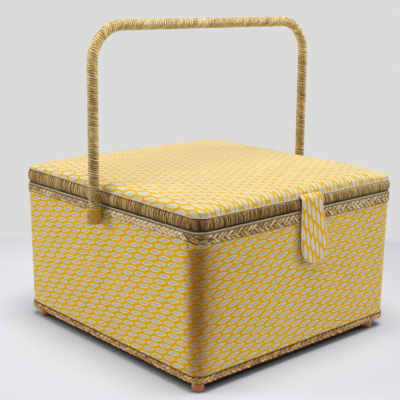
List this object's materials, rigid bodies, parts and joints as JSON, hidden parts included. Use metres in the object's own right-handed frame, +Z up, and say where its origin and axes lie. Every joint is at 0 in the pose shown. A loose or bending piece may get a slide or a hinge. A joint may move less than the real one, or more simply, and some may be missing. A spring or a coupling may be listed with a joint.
{
  "type": "sewing basket",
  "caption": "Square fabric-covered sewing basket with bead feet, straw-trimmed padded lid on back hinges, closing tab, wrapped bail handle and lift-out tray inside",
  "frame": {"origin": "on the floor under the middle of the whole basket, tab and hinge barrels included", "axes": "+Z up, -Y to the front with the closing tab, +Y to the hinged back, +X to the right as seen from the front"},
  "size_m": [0.3374, 0.3188, 0.3546],
  "materials": {
    "leaf_cloth": "mustard woven cloth with a small pale leaf pattern",
    "lining": "plain cream cotton",
    "straw": "twisted straw, uneven tan",
    "cord": "thin pale piping cord",
    "board": "grey fibre board",
    "wood": "plain light wood",
    "bead": "stained and varnished turned bead",
    "bamboo": "varnished bamboo",
    "cane": "bare rattan",
    "wadding": "white polyester wadding",
    "ribbon": "cotton tape",
    "tray": "moulded plastic, off-white, satin",
    "steel": "plated",
    "brass": "brass plated, satin"
  },
  "bodies": {
    "box": {"base_board": "board", "bottom_cloth": "lining", "foot_front_left": "bead", "foot_front_right": "bead", "foot_back_left": "bead", "foot_back_right": "bead", "panel_front": "board", "panel_back": "board", "panel_left": "board", "panel_right": "board", "corner_strip_front_left": "wood", "corner_strip_front_right": "wood", "corner_strip_back_left": "wood", "corner_strip_back_right": "wood", "outer_cover": "leaf_cloth", "wall_lining": "lining", "floor_pad": "lining", "bottom_plait": "straw", "top_plait": "straw", "rim_cord": "cord", "catch_plate": "steel", "pivot_bolt_left": "steel", "pivot_bolt_right": "steel", "pivot_nut_left": "steel", "pivot_nut_right": "steel", "pivot_washer_left": "steel", "pivot_washer_right": "steel", "hinge_body_leaf_left": "brass", "hinge_body_leaf_right": "brass", "hinge_pin_left": "brass", "hinge_pin_right": "brass", "lid_stay_left": "ribbon", "lid_stay_right": "ribbon", "tray_ledge_left": "wood", "tray_ledge_right": "wood"},
    "lid": {"lid_frame_strip": "wood", "lid_band_wrap": "straw", "lid_board": "board", "lid_padding": "wadding", "lid_cover": "leaf_cloth", "lid_cord": "cord", "lid_lining": "lining", "lid_pocket": "lining", "pincushion": "leaf_cloth", "tab_root": "leaf_cloth", "hinge_lid_leaf_left": "brass", "hinge_lid_leaf_right": "brass"},
    "tab": {"closing_tab": "leaf_cloth", "tab_magnet": "steel"},
    "handle": {"handle_cane": "cane", "handle_wrap": "straw", "ferrule_left": "bamboo", "ferrule_right": "bamboo"},
    "tray": {"tray": "tray"}
  },
  "joints": [
    {"name": "lid_open", "type": "hinge", "parent": "box", "child": "lid", "pos_m": [0, 0.1574, 0.1646], "axis": [-1, 0, 0], "range_deg": [0, 95], "deforming": ["lid_stay_left", "lid_stay_right"]},
    {"name": "handle_swing", "type": "hinge", "parent": "box", "child": "handle", "pos_m": [0, -0.0003, 0.1545], "axis": [-1, 0, 0], "range_deg": [-120, 120]},
    {"name": "tab_fold", "type": "hinge", "parent": "lid", "child": "tab", "pos_m": [0, -0.1582, 0.1651], "axis": [-1, 0, 0], "range_deg": [0, 100]},
    {"name": "tray_lift", "type": "slide", "parent": "box", "child": "tray", "axis": [0, 0, 1], "range_m": [0, 0.006]}
  ],
  "couplings": [
    {"joint": "handle_swing", "follows": "lid_open", "ratio": 1.263}
  ]
}
